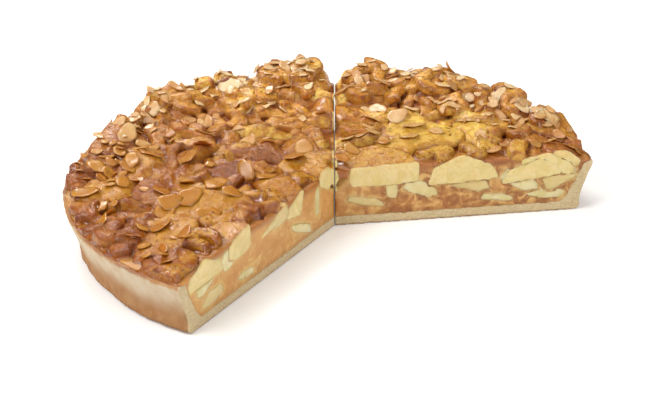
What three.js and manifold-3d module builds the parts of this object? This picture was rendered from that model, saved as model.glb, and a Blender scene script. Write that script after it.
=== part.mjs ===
// A round apple tart with a shortcrust case, cut and partly eaten. Millimetres, +Z up.
//
// The case is baked shortcrust: a flat base and a low wall that leans outwards. It is filled
// with custard and apple, topped with browned apple wedges under a glaze, and strewn with
// almond flakes. A knife has cut it twice at the front, where the missing part was lifted
// out, and once at the back, where the two portions that are left still stand together.

import * as THREE from 'three';
import { mergeGeometries, mergeVertices } from 'three/addons/utils/BufferGeometryUtils.js';
import Module from 'manifold-3d';

const wasm = await Module();
wasm.setup();

// Driving dimensions of the tart.
const RIM_RADIUS = 140;
const BASE_RADIUS = 131;
const RIM_HEIGHT = 28;
const WALL = 5.5;
const BASE = 5.5;
const LIP = 2.2;

// The custard lies level under the wedges, and swells up behind the two open cuts.
const CUSTARD_LEVEL = 27.6;
const CUSTARD_SWELL = 31;
const SWELL_WIDTH = 26;

// The knife cuts, in degrees round the tart, and half the width of the one that is closed.
const CUT_RIGHT = 9;
const CUT_BACK = 90;
const CUT_LEFT = 240;
const HALF_SLIT = 0.5;

// Clear space between neighbours, how far the topping reaches towards the wall, how far the
// wedges reach that lie on the rim, and the height above which they have to keep within that.
const GAP = 0.3;
const TOPPING_RADIUS = 134.5;
const RIM_REACH = 138.5;
const WALL_CLEARED = 20.6;

// The underside of the wedges on top, and of those that a knife has gone through.
const SEAT = 28.6;
const KNIFED_SEAT = 21;
const SEAT_SLANT = 0.2;

// A wedge closer to an open cut than this share of its own radius has been cut by the knife.
const KNIFED_SHARE = 0.8;

// Scraps with less volume than this fall off.
const SMALLEST_PIECE = 350;

// A wedge of apple is a segment of the fruit, this many degrees wide, with the core cut out.
const OPENING = 70;
const CORE = 8;
const WEDGE_COUNT = 39;

// Small bits of apple between the wedges.
const BIT_COUNT = 20;
const BIT_SPACING = 13;
const BIT_CORE = 3;

// Almond flakes: length, width and thickness of a middling one.
const FLAKE_LENGTH = 13;
const FLAKE_WIDTH = 8.5;
const FLAKE_THICKNESS = 1.1;
const FLAKE_COUNT = 66;

const up = new THREE.Vector3(0, 0, 1);
const radians = THREE.MathUtils.degToRad;

// Seeded random numbers, so that the tart is the same each time.
function dice(seed) {
  let state = seed;
  return () => {
    state = (state * 1664525 + 1013904223) % 4294967296;
    return state / 4294967296;
  };
}

// A fixed random value from -1 to 1 for each corner of a grid of whole numbers.
function cornerValue(i, j, k) {
  const mixed = Math.sin(i * 127.1 + j * 311.7 + k * 74.7) * 43758.5453;
  return 2 * (mixed - Math.floor(mixed)) - 1;
}

// Smooth unevenness, from -1 to 1, whose bumps are about one unit of `size` apart.
function unevenness(point, size) {
  const scaled = point.clone().divideScalar(size);
  const cell = scaled.clone().floor();
  const part = scaled.sub(cell);
  const ease = part.toArray().map((t) => t * t * (3 - 2 * t));
  let sum = 0;
  for (const i of [0, 1]) {
    for (const j of [0, 1]) {
      for (const k of [0, 1]) {
        const share = [i, j, k].reduce((p, on, n) => p * (on ? ease[n] : 1 - ease[n]), 1);
        sum += share * cornerValue(cell.x + i, cell.y + j, cell.z + k);
      }
    }
  }
  return sum;
}

// Moves each vertex of a geometry by a rule.
function bend(geometry, rule) {
  const position = geometry.getAttribute('position');
  const point = new THREE.Vector3();
  for (let n = 0; n < position.count; n += 1) {
    point.fromBufferAttribute(position, n);
    rule(point);
    position.setXYZ(n, point.x, point.y, point.z);
  }
  return geometry;
}

// A geometry with shared corners, ready for joining and cutting.
function welded(geometry) {
  const bare = geometry.clone();
  bare.deleteAttribute('normal');
  bare.deleteAttribute('uv');
  return mergeVertices(bare, 1e-3);
}

function solidOf(geometry) {
  const closed = welded(geometry);
  const vertProperties = new Float32Array(closed.getAttribute('position').array);
  const triVerts = new Uint32Array(closed.index.array);
  const mesh = new wasm.Mesh({ numProp: 3, vertProperties, triVerts });
  mesh.merge();
  return new wasm.Manifold(mesh);
}

function geometryOf(solid) {
  const { vertProperties, triVerts } = solid.getMesh();
  const geometry = new THREE.BufferGeometry();
  geometry.setAttribute('position', new THREE.BufferAttribute(vertProperties, 3));
  geometry.setIndex(new THREE.BufferAttribute(triVerts, 1));
  return geometry;
}

// The largest closed body of a solid, with no loose scraps and no sealed hollows.
function largest(solid) {
  const bodies = solid.decompose();
  return bodies.reduce((best, body) => (body.volume() > best.volume() ? body : best), bodies[0]);
}

// The same form with its skin moved outwards: each corner moves until every face that
// meets there has moved by the distance.
function grown(solid, distance) {
  const closed = geometryOf(solid);
  const position = closed.getAttribute('position');
  const corners = Array.from({ length: position.count }, () => []);
  const triangle = new THREE.Triangle();
  for (let n = 0; n < closed.index.count; n += 3) {
    const ends = [closed.index.getX(n), closed.index.getX(n + 1), closed.index.getX(n + 2)];
    triangle.setFromAttributeAndIndices(position, ...ends);
    const normal = triangle.getNormal(new THREE.Vector3());
    ends.forEach((end) => corners[end].push(normal));
  }
  let n = 0;
  bend(closed, (point) => {
    const shift = new THREE.Vector3();
    for (let pass = 0; pass < 12; pass += 1) {
      for (const normal of corners[n]) {
        shift.addScaledVector(normal, Math.max(0, 1 - shift.dot(normal)));
      }
    }
    point.addScaledVector(shift.clampLength(0, 3), distance);
    n += 1;
  });
  return solidOf(closed).add(solid);
}

// The part of a solid between two knife cuts, given in degrees round the tart.
function between(solid, from, to, inset = 0) {
  const start = radians(from);
  const end = radians(to);
  return solid
    .trimByPlane([-Math.sin(start), Math.cos(start), 0], from === CUT_BACK ? HALF_SLIT + inset : inset)
    .trimByPlane([Math.sin(end), -Math.cos(end), 0], to === CUT_BACK ? HALF_SLIT + inset : inset);
}

const portions = [
  { side: 'left', from: CUT_BACK, to: CUT_LEFT },
  { side: 'right', from: CUT_RIGHT, to: CUT_BACK },
];

// The shortcrust case, with a squeezed lip at its foot and an uneven rim.
function crust() {
  const outline = [
    [0, 0], [BASE_RADIUS - 4, 0], [BASE_RADIUS, 0.4], [BASE_RADIUS + LIP, 1.6],
    [BASE_RADIUS + LIP, 3.6], [BASE_RADIUS + 1.4, 5.6], [BASE_RADIUS + 3.4, 12],
    [BASE_RADIUS + 6, 19.5], [RIM_RADIUS - 0.8, RIM_HEIGHT - 2], [RIM_RADIUS, RIM_HEIGHT - 0.7],
    [RIM_RADIUS - 1.6, RIM_HEIGHT], [RIM_RADIUS - WALL, RIM_HEIGHT - 1],
    [BASE_RADIUS - WALL + 0.6, BASE + 4], [BASE_RADIUS - WALL - 3, BASE], [0, BASE],
  ].map(([r, z]) => new THREE.Vector2(r, z));
  const geometry = new THREE.LatheGeometry(outline, 60);
  geometry.rotateX(Math.PI / 2);
  return bend(geometry, (point) => {
    const outwards = Math.hypot(point.x, point.y);
    if (outwards < BASE_RADIUS - 1 || point.z < 0.2) return;
    const wave = 0.7 * unevenness(point, 19) + 0.5 * unevenness(point, 8);
    const outer = outwards > BASE_RADIUS - WALL + 5 + (point.z * (RIM_RADIUS - BASE_RADIUS)) / RIM_HEIGHT;
    const push = (outer || point.z < 6 ? wave : 0) / outwards;
    point.x += point.x * push;
    point.y += point.y * push;
    if (point.z > RIM_HEIGHT - 3) point.z += 0.8 * unevenness(point, 14);
  });
}

function distanceToCut(point, cut) {
  const turn = radians(cut);
  const along = point.x * Math.cos(turn) + point.y * Math.sin(turn);
  const across = Math.abs(point.y * Math.cos(turn) - point.x * Math.sin(turn));
  return along > 0 ? across : Math.hypot(along, across);
}

// Custard and cooked apple pulp: it fills the case and swells a little in the middle.
function custard() {
  const clear = GAP + 0.1;
  const wall = [
    [BASE_RADIUS - WALL - 3, BASE + clear], [BASE_RADIUS - WALL + 0.3, BASE + 4 + clear],
    [RIM_RADIUS - WALL - 1.2, CUSTARD_LEVEL - 0.8],
  ];
  const surface = [0.985, 0.9, 0.7, 0.45, 0.2].map((share) => {
    return [(RIM_RADIUS - WALL) * share, CUSTARD_LEVEL];
  });
  const outline = [[0, BASE + clear], ...wall, ...surface, [0, CUSTARD_LEVEL]];
  const geometry = new THREE.LatheGeometry(outline.map(([r, z]) => new THREE.Vector2(r, z)), 60);
  geometry.rotateX(Math.PI / 2);
  return bend(geometry, (point) => {
    if (point.z < CUSTARD_LEVEL - 0.1) return;
    const nearest = Math.min(...[CUT_RIGHT, CUT_LEFT].map((cut) => distanceToCut(point, cut)));
    const swell = THREE.MathUtils.smoothstep(SWELL_WIDTH - nearest, 0, SWELL_WIDTH / 2);
    const edge = Math.min(1, (RIM_RADIUS - WALL - Math.hypot(point.x, point.y)) / 12);
    point.z += (CUSTARD_SWELL - CUSTARD_LEVEL) * swell * edge + 0.5 * unevenness(point, 21);
  });
}

// A wedge of apple: a segment of the fruit round its core, which is scooped out. Its core
// lies along X and its round back faces up.
function wedge({ length, depth, opening = OPENING, core = CORE, seed }) {
  const half = radians(opening) / 2;
  const back = [-76, -40, 0, 40, 76].map((degrees) => {
    const turn = radians(degrees);
    return new THREE.Vector2(depth * Math.cos(turn) ** 0.75, (length / 2) * Math.sin(turn));
  });
  const scoop = [0.62, 0.25, -0.25, -0.62].map((share) => {
    const hollow = Math.abs(share) > 0.5 ? 0.4 : 1;
    return new THREE.Vector2(core * hollow, (share * length) / 2);
  });
  const outline = [...back, ...scoop];
  const sweep = new THREE.LatheGeometry([...outline, outline[0]], 3, -half, 2 * half);
  const cheek = (turn, flip) => {
    const face = new THREE.ShapeGeometry(new THREE.Shape(outline));
    face.rotateY(turn - Math.PI / 2);
    if (flip) face.index.array.reverse();
    return face;
  };
  const whole = mergeGeometries([sweep, cheek(-half, false), cheek(half, true)]);
  whole.rotateZ(-Math.PI / 2);
  const shift = new THREE.Vector3(seed * 37, seed * 11, 0);
  return bend(whole, (point) => {
    const place = point.clone().add(shift);
    point.y += 1.5 * unevenness(place, 13);
    point.z += 1.3 * unevenness(place.addScalar(50), 15);
  });
}

// Moves a wedge towards the middle of the tart where it would hang too far over the wall.
function drawnIn(geometry, limit) {
  let reach = 0;
  bend(geometry, (point) => {
    if (point.z > WALL_CLEARED) reach = Math.max(reach, Math.hypot(point.x, point.y));
  });
  geometry.computeBoundingBox();
  const middle = geometry.boundingBox.getCenter(new THREE.Vector3()).setZ(0);
  const excess = Math.max(0, reach - limit);
  const shift = middle.setLength(excess).negate();
  return geometry.translate(shift.x, shift.y, 0);
}

// Lays a wedge on the tart: it is rolled about its core, pitched, turned, and set so that
// its highest point has the height that is asked for.
function laid(geometry, { x, y, yaw, roll, pitch = 0, top, limit = TOPPING_RADIUS }) {
  geometry.rotateX(radians(roll));
  geometry.rotateY(radians(pitch));
  geometry.rotateZ(radians(yaw));
  geometry.computeBoundingBox();
  const box = geometry.boundingBox;
  const middle = box.getCenter(new THREE.Vector3());
  geometry.translate(x - middle.x, y - middle.y, top - box.max.z);
  return drawnIn(geometry, limit);
}

// The wedges that stand out on top, where they lie on the real tart. With yaw 0 a wedge
// lies along X. Roll 0 has its round back up, -30 turns a cheek upright towards the front,
// and about 110 either way has it lying flat, with a cheek up. Those with a limit of their
// own lie on the rim at the back.
const leadingWedges = [
  { x: -96, y: -88, yaw: 74, roll: 100, opening: 40, length: 46, depth: 36, top: 36.5, pitch: -5 },
  { x: -60, y: -53, yaw: 16, roll: -86, opening: 42, length: 64, depth: 40, top: 38.5 },
  { x: -102, y: -42, yaw: -8, roll: -46, opening: 58, length: 48, depth: 30, top: 38.5, core: 11 },
  { x: -54, y: -10, yaw: -14, roll: -66, opening: 52, length: 58, depth: 40, top: 39 },
  { x: -39, y: 18, yaw: -24, roll: -56, opening: 58, length: 62, depth: 37, top: 38.5 },
  { x: -10, y: -3, yaw: -18, roll: -102, opening: 42, length: 42, depth: 32, top: 38.5 },
  { x: 20, y: 46, yaw: 2, roll: -36, opening: 60, length: 62, depth: 38, top: 39, core: 15 },
  { x: -1, y: 69, yaw: 4, roll: -52, opening: 60, length: 72, depth: 36, top: 39 },
  { x: 68, y: 16, yaw: 9, roll: -42, opening: 60, length: 46, depth: 34, top: 38.5 },
  { x: 22, y: 9, yaw: 6, roll: -98, opening: 42, length: 50, depth: 30, top: 36.5 },
  { x: 66, y: 83, yaw: 4, roll: -44, opening: 62, length: 55, depth: 36, top: 39, core: 13 },
  { x: -42, y: 50, yaw: -8, roll: -56, opening: 56, length: 67, depth: 36, top: 38 },
  { x: -97, y: 8, yaw: 74, roll: 34, opening: 66, length: 77, depth: 34, top: 38 },
  { x: -84, y: 50, yaw: -8, roll: -48, opening: 60, length: 50, depth: 35, top: 38.5, core: 12 },
  { x: 104, y: 29, yaw: 16, roll: 22, opening: 70, length: 48, depth: 29, top: 37 },
  { x: -29, y: -20, yaw: -62, roll: 8, opening: 36, length: 48, depth: 28, top: 37 },
  { x: -73, y: 17, yaw: 62, roll: -48, opening: 66, length: 65, depth: 35, top: 38 },
  { x: 43, y: 73, yaw: 62, roll: 44, opening: 66, length: 65, depth: 34, top: 37.5 },
  { x: 115, y: 55, yaw: -60, roll: 18, opening: 70, length: 48, depth: 30, top: 41, limit: RIM_REACH },
  { x: 47, y: 34, yaw: 34, roll: -108, opening: 42, length: 55, depth: 37, top: 37 },
  { x: -17, y: 30, yaw: -70, roll: 30, opening: 50, length: 60, depth: 31, top: 37.5 },
  { x: -118, y: 48, yaw: 66, roll: 30, opening: 70, length: 60, depth: 31, top: 38.5 },
  { x: -93, y: 84, yaw: 44, roll: 18, opening: 72, length: 50, depth: 29, top: 40.5, limit: RIM_REACH },
  { x: -121, y: 4, yaw: -68, roll: -48, opening: 66, length: 60, depth: 34, top: 37 },
  { x: -120, y: -28, yaw: 54, roll: 16, opening: 66, length: 46, depth: 29, top: 36 },
  { x: 25, y: 122, yaw: -5, roll: 30, opening: 64, length: 54, depth: 28, top: 42.5, limit: RIM_REACH },
  { x: -46, y: 84, yaw: -20, roll: 34, opening: 70, length: 54, depth: 34, top: 39 },
  { x: -63, y: 108, yaw: 36, roll: 30, opening: 58, length: 52, depth: 34, top: 42.5, limit: RIM_REACH },
  { x: 61, y: 109, yaw: -20, roll: 18, opening: 74, length: 50, depth: 32, top: 43.5, limit: RIM_REACH },
  { x: 91, y: 86, yaw: -52, roll: 32, opening: 56, length: 52, depth: 32, top: 43, limit: RIM_REACH },
  { x: 16, y: 94, yaw: 14, roll: -66, opening: 58, length: 56, depth: 36, top: 40.5 },
  { x: -14, y: 95, yaw: -16, roll: -60, opening: 58, length: 50, depth: 36, top: 40.5 },
  { x: -26, y: 121, yaw: 9, roll: 22, opening: 70, length: 56, depth: 30, top: 43, limit: RIM_REACH },
  { x: 111, y: 20, yaw: -20, roll: -30, opening: 60, length: 36, depth: 24, top: 35 },
  { x: 129, y: 27, yaw: 62, roll: 20, opening: 60, length: 34, depth: 20, top: 36 },
  { x: -75, y: -94, yaw: 40, roll: 14, opening: 66, length: 34, depth: 22, top: 34 },
  { x: -52, y: -78, yaw: -34, roll: -96, opening: 44, length: 34, depth: 26, top: 35.5 },
  { x: -63, y: -102, yaw: 62, roll: -24, opening: 60, length: 34, depth: 22, top: 33 },
];

// The wedges between them and towards the rim lie as they fell: each goes where the most
// room is left, and is turned at random.
function fillingWedges() {
  const random = dice(20);
  const placed = leadingWedges.map(({ x, y, length }) => ({ x, y, reach: length * 0.3 }));
  const rows = [];
  while (leadingWedges.length + rows.length < WEDGE_COUNT) {
    let best = null;
    for (let n = 0; n < 240; n += 1) {
      const turn = radians(CUT_RIGHT + 5 + random() * (CUT_LEFT - CUT_RIGHT - 10));
      const radius = (TOPPING_RADIUS - 13) * Math.sqrt(0.1 + 0.9 * random());
      const x = radius * Math.cos(turn);
      const y = radius * Math.sin(turn);
      const room = Math.min(...placed.map((p) => Math.hypot(p.x - x, p.y - y) - p.reach));
      if (!best || room > best.room) best = { x, y, room };
    }
    const length = 50 + 12 * random();
    placed.push({ ...best, reach: length * 0.3 });
    rows.push({
      x: best.x,
      y: best.y,
      yaw: 180 * random(),
      roll: 100 * random() - 70,
      length,
      depth: 31 + 6 * random(),
      top: 36.2 + 2.2 * random(),
    });
  }
  return rows;
}

// Pieces of apple sunk in the custard, where a knife has gone through them: the distance
// from the middle of the tart, the height, the length, the height of the piece, its slant
// and how pointed it is.
const sunkPieces = {
  left: [
    [119.5, 21.5, 17, 11, -28, 0.7], [112, 11.8, 20, 8, -10, 0.5], [98, 25.5, 12, 14, 62, 0.3],
    [84, 10.6, 15, 5, 4, 0.6], [70, 20, 6, 9, 80, 0.5], [52, 27, 19, 9, -14, 0.6],
    [33, 13, 26, 5.5, 24, 0.7], [17, 22, 6, 17, 4, 0.7],
  ],
  right: [
    [17, 13, 24, 5.5, -12, 0.6], [30, 20, 7, 13, 8, 0.7], [46, 19, 22, 10, -18, 0.6],
    [70, 21.5, 27, 11, -16, 0.5], [88, 10.4, 22, 5, -6, 0.6], [99, 20, 24, 10, -24, 0.6],
    [121, 21, 22, 12, 30, 0.5], [114, 11.4, 25, 7.5, -6, 0.7],
  ],
};

// One sunk piece: a block of flesh with cut cheeks and uneven corners, that reaches into
// the custard behind the knife cut.
function sunkPiece([radius, height, length, tall, slant, blunt], cut, seed) {
  const random = dice(seed);
  const corners = [
    [-1, -blunt], [-0.55, -1], [0.6, -1], [1, -0.3], [0.8, 0.7 * blunt], [0.3, 1], [-0.7, 0.9],
  ];
  const face = new THREE.Shape(corners.map(([u, v]) => new THREE.Vector2(
    (length / 2) * u * (0.86 + 0.28 * random()),
    (tall / 2) * v * (0.86 + 0.28 * random()),
  )));
  const thick = 9 + 4 * random();
  const geometry = new THREE.ExtrudeGeometry(face, {
    depth: thick,
    bevelThickness: 1.4,
    bevelSize: 1,
    bevelOffset: -1,
    bevelSegments: 1,
  });
  geometry.translate(0, 0, -thick / 2);
  geometry.rotateZ(radians(slant));
  geometry.rotateX(Math.PI / 2);
  geometry.translate(radius, 0, height);
  geometry.rotateZ(radians(cut));
  return geometry;
}

// One almond flake: a thin, slightly dished oval with a point at one end.
function flake(random) {
  const size = 0.75 + 0.45 * random();
  const oval = new THREE.Shape();
  const steps = 8;
  for (let n = 0; n < steps; n += 1) {
    const turn = (n / steps) * 2 * Math.PI;
    const taper = 1 - 0.22 * Math.cos(turn);
    const reach = 0.5 * size * (0.9 + 0.2 * random());
    const point = [FLAKE_LENGTH * reach * Math.cos(turn), FLAKE_WIDTH * reach * taper * Math.sin(turn)];
    if (n === 0) oval.moveTo(...point);
    else oval.lineTo(...point);
  }
  const geometry = new THREE.ExtrudeGeometry(oval, { depth: FLAKE_THICKNESS, bevelEnabled: false });
  return geometry.translate(0, 0, -FLAKE_THICKNESS / 2);
}

function finish(color, roughness) {
  return new THREE.MeshStandardMaterial({ color, roughness, metalness: 0 });
}

const finishes = {
  crust: () => finish(0xdcb98a, 0.85),
  custard: () => finish(0xc99a5e, 0.45),
  topping: () => finish(0xc98a3a, 0.3),
  flesh: () => finish(0xe3d890, 0.5),
};

// Each piece is kept as its name, its solid and its finish.
const pieces = [];

function keep(name, solid, look) {
  pieces.push({ name, solid, look });
}

// Whether a geometry reaches one of the two open knife cuts.
function isKnifed(geometry) {
  geometry.computeBoundingSphere();
  const { center, radius } = geometry.boundingSphere;
  return [CUT_RIGHT, CUT_LEFT].some((cut) => distanceToCut(center, cut) < KNIFED_SHARE * radius);
}

// A wedge as it sits in the topping: its underside is pressed flat on the custard, or sinks
// in at a slant where a knife has gone through it.
function seated(geometry, random) {
  const whole = solidOf(geometry);
  if (!isKnifed(geometry)) return whole.trimByPlane([0, 0, 1], SEAT);
  const middle = geometry.boundingSphere.center;
  const slope = () => SEAT_SLANT * (2 * random() - 1);
  const slant = new THREE.Vector3(slope(), slope(), 1).normalize();
  const height = slant.dot(new THREE.Vector3(middle.x, middle.y, KNIFED_SEAT));
  return whole.trimByPlane(slant.toArray(), height);
}

// Pieces are laid from the top down. Each is cut back where it meets those that lie over it,
// and it is cut by the knife where it crosses a cut.
const taken = [];

function place(whole, within, name, look) {
  const clear = taken.reduce((rest, other) => rest.subtract(other), whole);
  for (const { from, to } of within) {
    const body = between(clear, from, to);
    if (body.isEmpty()) continue;
    const kept = largest(body).simplify(0.05);
    if (kept.volume() < SMALLEST_PIECE) continue;
    const number = pieces.filter((piece) => piece.name.startsWith(name)).length + 1;
    keep(`${name}_${String(number).padStart(2, '0')}`, kept, look);
  }
  taken.push(grown(whole, GAP));
}

const caseSolid = solidOf(crust());
taken.push(grown(caseSolid, GAP));

const pressing = dice(9);
[...leadingWedges, ...fillingWedges()].forEach((row, index) => {
  const geometry = laid(wedge({ ...row, seed: index + 1 }), row);
  place(seated(geometry, pressing), portions, 'apple_wedge', finishes.topping);
});

sunkPieces.left.forEach((row, index) => {
  const geometry = sunkPiece(row, CUT_LEFT, 100 + index);
  place(solidOf(geometry), [portions[0]], 'sunk_apple', finishes.flesh);
});
sunkPieces.right.forEach((row, index) => {
  const geometry = sunkPiece(row, CUT_RIGHT, 200 + index);
  place(solidOf(geometry), [portions[1]], 'sunk_apple', finishes.flesh);
});

let filling = taken.slice(1).reduce((rest, other) => rest.subtract(other), solidOf(custard()));
for (const { solid } of pieces) {
  if (filling.intersect(solid).volume() > 0) filling = filling.subtract(grown(solid, GAP));
}
for (const { side, from, to } of portions) {
  keep(`custard_${side}`, largest(between(filling, from, to)).simplify(0.05), finishes.custard);
  keep(`crust_${side}`, largest(between(caseSolid, from, to)), finishes.crust);
}

// The knife cuts that bound the portion a piece belongs to.
function limitsOf({ solid }) {
  const box = solid.boundingBox();
  const { from, to } = portions[(box.min[0] + box.max[0]) / 2 > 0 ? 1 : 0];
  return [from, to, GAP];
}

// Small bits of apple in the gaps between the wedges, stuck to the custard.
function addBits() {
  const random = dice(5);
  const spots = [];
  for (let tries = 0; tries < 1600 && spots.length < BIT_COUNT; tries += 1) {
    const turn = radians(CUT_RIGHT + 4 + random() * (CUT_LEFT - CUT_RIGHT - 8));
    const radius = (TOPPING_RADIUS - 8) * Math.sqrt(random());
    const spot = new THREE.Vector3(radius * Math.cos(turn), radius * Math.sin(turn), 0);
    const row = {
      x: spot.x,
      y: spot.y,
      yaw: 360 * random(),
      roll: 60 * random() - 30,
      length: 13 + 9 * random(),
      depth: 9 + 5 * random(),
      top: 32.5 + 2.5 * random(),
    };
    if (spots.some((other) => other.distanceTo(spot) < BIT_SPACING)) continue;
    const geometry = laid(wedge({ ...row, core: BIT_CORE, seed: 300 + tries }), row);
    const bit = solidOf(geometry).trimByPlane([0, 0, 1], CUSTARD_LEVEL - 2);
    const room = grown(bit, GAP);
    const host = pieces.find(({ name }) => name === (spot.x > 0 ? 'custard_right' : 'custard_left'));
    if (pieces.some((other) => other !== host && room.intersect(other.solid).volume() > 0)) continue;
    if (between(bit, ...limitsOf(host)).volume() < bit.volume() - 0.01) continue;
    host.solid = largest(host.solid.add(bit));
    spots.push(spot);
  }
}

// Almond flakes, each fused to what it has fallen on and clear of everything else.
function strew() {
  const random = dice(77);
  const meshes = pieces.map(({ name, solid }) => {
    const mesh = new THREE.Mesh(geometryOf(solid));
    mesh.name = name;
    return mesh;
  });
  const ray = new THREE.Raycaster();
  const strewn = [];
  for (let tries = 0; tries < 1500 && strewn.length < FLAKE_COUNT; tries += 1) {
    const turn = radians(CUT_RIGHT + 3 + random() * (CUT_LEFT - CUT_RIGHT - 6));
    const radius = (TOPPING_RADIUS - 6) * Math.sqrt(0.02 + 0.98 * random());
    const spot = new THREE.Vector3(radius * Math.cos(turn), radius * Math.sin(turn), 80);
    if (strewn.some((other) => Math.hypot(other.x - spot.x, other.y - spot.y) < FLAKE_LENGTH)) continue;
    ray.set(spot, up.clone().negate());
    const hit = ray.intersectObjects(meshes)[0];
    if (!hit || hit.face.normal.z < 0.55 || hit.point.z < SEAT) continue;
    const host = pieces[meshes.indexOf(hit.object)];
    const shape = flake(random);
    shape.rotateZ(2 * Math.PI * random());
    const lean = hit.face.normal.clone();
    lean.add(new THREE.Vector3(random() - 0.5, random() - 0.5, 0).multiplyScalar(0.5)).normalize();
    shape.applyQuaternion(new THREE.Quaternion().setFromUnitVectors(up, lean));
    shape.translate(hit.point.x, hit.point.y, hit.point.z + 0.1);
    const solid = solidOf(shape);
    const room = grown(solid, GAP);
    const crowded = pieces.some((other) => other !== host && room.intersect(other.solid).volume() > 0);
    if (crowded || between(solid, ...limitsOf(host)).volume() < solid.volume() - 0.01) continue;
    const joined = host.solid.add(solid);
    if (joined.decompose().length > 1) continue;
    host.solid = joined.simplify(0.02);
    strewn.push(spot);
  }
}

addBits();
strew();

const pie = new THREE.Group();
for (const { name, solid, look } of pieces) {
  const mesh = new THREE.Mesh(geometryOf(solid), look());
  mesh.name = name;
  pie.add(mesh);
}

// The tart stands on its base, with the origin under the middle of its outline.
const middle = new THREE.Box3().setFromObject(pie).getCenter(new THREE.Vector3());
pie.position.set(-middle.x, -middle.y, 0);

export default pie;
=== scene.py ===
import math
from functools import cached_property

import bpy
import numpy as np
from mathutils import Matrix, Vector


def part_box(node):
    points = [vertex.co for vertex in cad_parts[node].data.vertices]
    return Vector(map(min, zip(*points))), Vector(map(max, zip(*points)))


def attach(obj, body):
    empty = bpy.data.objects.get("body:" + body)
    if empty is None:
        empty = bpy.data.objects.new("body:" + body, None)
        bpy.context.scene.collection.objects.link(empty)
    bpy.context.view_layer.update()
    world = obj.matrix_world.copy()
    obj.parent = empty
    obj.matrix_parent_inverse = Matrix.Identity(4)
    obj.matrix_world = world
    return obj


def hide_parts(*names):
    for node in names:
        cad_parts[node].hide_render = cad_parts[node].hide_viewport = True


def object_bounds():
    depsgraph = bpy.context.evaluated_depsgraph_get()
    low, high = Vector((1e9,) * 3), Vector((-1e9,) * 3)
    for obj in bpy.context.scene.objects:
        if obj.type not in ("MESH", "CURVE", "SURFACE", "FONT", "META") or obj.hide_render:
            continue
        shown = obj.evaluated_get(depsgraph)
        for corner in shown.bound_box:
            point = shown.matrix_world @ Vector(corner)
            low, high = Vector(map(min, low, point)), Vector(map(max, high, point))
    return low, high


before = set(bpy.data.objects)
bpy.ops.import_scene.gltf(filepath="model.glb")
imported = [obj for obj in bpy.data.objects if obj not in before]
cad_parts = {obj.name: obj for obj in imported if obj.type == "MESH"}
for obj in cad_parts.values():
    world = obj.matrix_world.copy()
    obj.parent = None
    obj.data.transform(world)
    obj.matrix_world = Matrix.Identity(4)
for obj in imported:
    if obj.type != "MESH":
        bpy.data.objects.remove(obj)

import openvdb as vdb
from mathutils import Vector
from mathutils.bvhtree import BVHTree

cad_low, cad_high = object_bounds()

# ----------------------------------------
# The shortcrust case: a flat base and a low wall that leans outwards, pressed into a tin by
# hand and baked. Its outside is pale and dusty at the top and golden below, its foot is dark,
# and where a knife went through it shows an ivory crumb.

MM = 0.001
PITCH = 0.75   # the size of the cells that forms are worked out in
REACH = 4.0                           # how far from a skin distances are worked out

RIM_HEIGHT = 28.0
RIM_RADIUS = 140.0
SLIT = 0.5           # half the width of the closed cut
SLIT_CLOSED = 0.28   # how far the soft filling and crumb have sagged into the closed cut
CUT_RIGHT = math.radians(9)
CUT_LEFT = math.radians(240)

_, left_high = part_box("crust_left")
right_low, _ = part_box("crust_right")
middle = np.array([(left_high.x + right_low.x) / 2, right_low.y, 0.0]) / MM
middle[1] -= SLIT * math.tan(CUT_RIGHT)

# The knife cuts that bound each portion: a normal that points out of it, how far the cut
# lies from the middle, and how far what it cut has sagged past it.
knife = {
    "left": [
        (np.array([-math.sin(CUT_LEFT), math.cos(CUT_LEFT), 0.0]), 0.0, 0.0),
        (np.array([1.0, 0.0, 0.0]), -SLIT, SLIT_CLOSED),
    ],
    "right": [
        (np.array([math.sin(CUT_RIGHT), -math.cos(CUT_RIGHT), 0.0]), 0.0, 0.0),
        (np.array([-1.0, 0.0, 0.0]), -SLIT, SLIT_CLOSED),
    ],
}


def beyond(points, cut):
    """How far points lie beyond a knife cut, in millimetres: below zero in the portion."""
    normal, offset, _ = cut
    return (points - middle) @ normal - offset


def inside(spot, side):
    """How far a place lies inside the knife cuts of its portion, in millimetres."""
    return -max(beyond(spot, cut) for cut in knife[side])


def portion(x):
    return "left" if x < middle[0] else "right"


def side_of(node):
    low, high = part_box(node)
    return portion((low.x + high.x) / 2 / MM)


def spot_at(turn, out):
    """The place at a turn round the middle of the tart and a distance from it."""
    return middle + np.array([out * math.cos(turn), out * math.sin(turn), 0])


def radius_at(x, y):
    return np.hypot(x - middle[0], y - middle[1])


def cad_mesh(node):
    """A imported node's points in millimetres, and its triangles."""
    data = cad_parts[node].data
    data.calc_loop_triangles()
    points = np.empty(len(data.vertices) * 3)
    data.vertices.foreach_get("co", points)
    triangles = np.empty(len(data.loop_triangles) * 3, np.int32)
    data.loop_triangles.foreach_get("vertices", triangles)
    return points.reshape(-1, 3) / MM, triangles.reshape(-1, 3)


CUT_SLACK = 0.15


def run_on(points, side, length=5.0):
    """Lets the faces that end at a knife cut run on past it, so that only the knife ends them."""
    moved = points.copy()
    for cut in knife[side]:
        at_cut = np.abs(beyond(points, cut)) < CUT_SLACK
        moved[at_cut] += cut[0] * length
    return moved


def level_set(points, faces):
    """Distances to a closed skin, in millimetres, below zero inside."""
    kind = "triangles" if faces.shape[1] == 3 else "quads"
    return vdb.FloatGrid.createLevelSetFromPolygons(
        np.ascontiguousarray(points, np.float32),
        transform=vdb.createLinearTransform(PITCH),
        exBandWidth=REACH / PITCH,
        inBandWidth=REACH / PITCH,
        **{kind: np.ascontiguousarray(faces, np.uint32)},
    )


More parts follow.
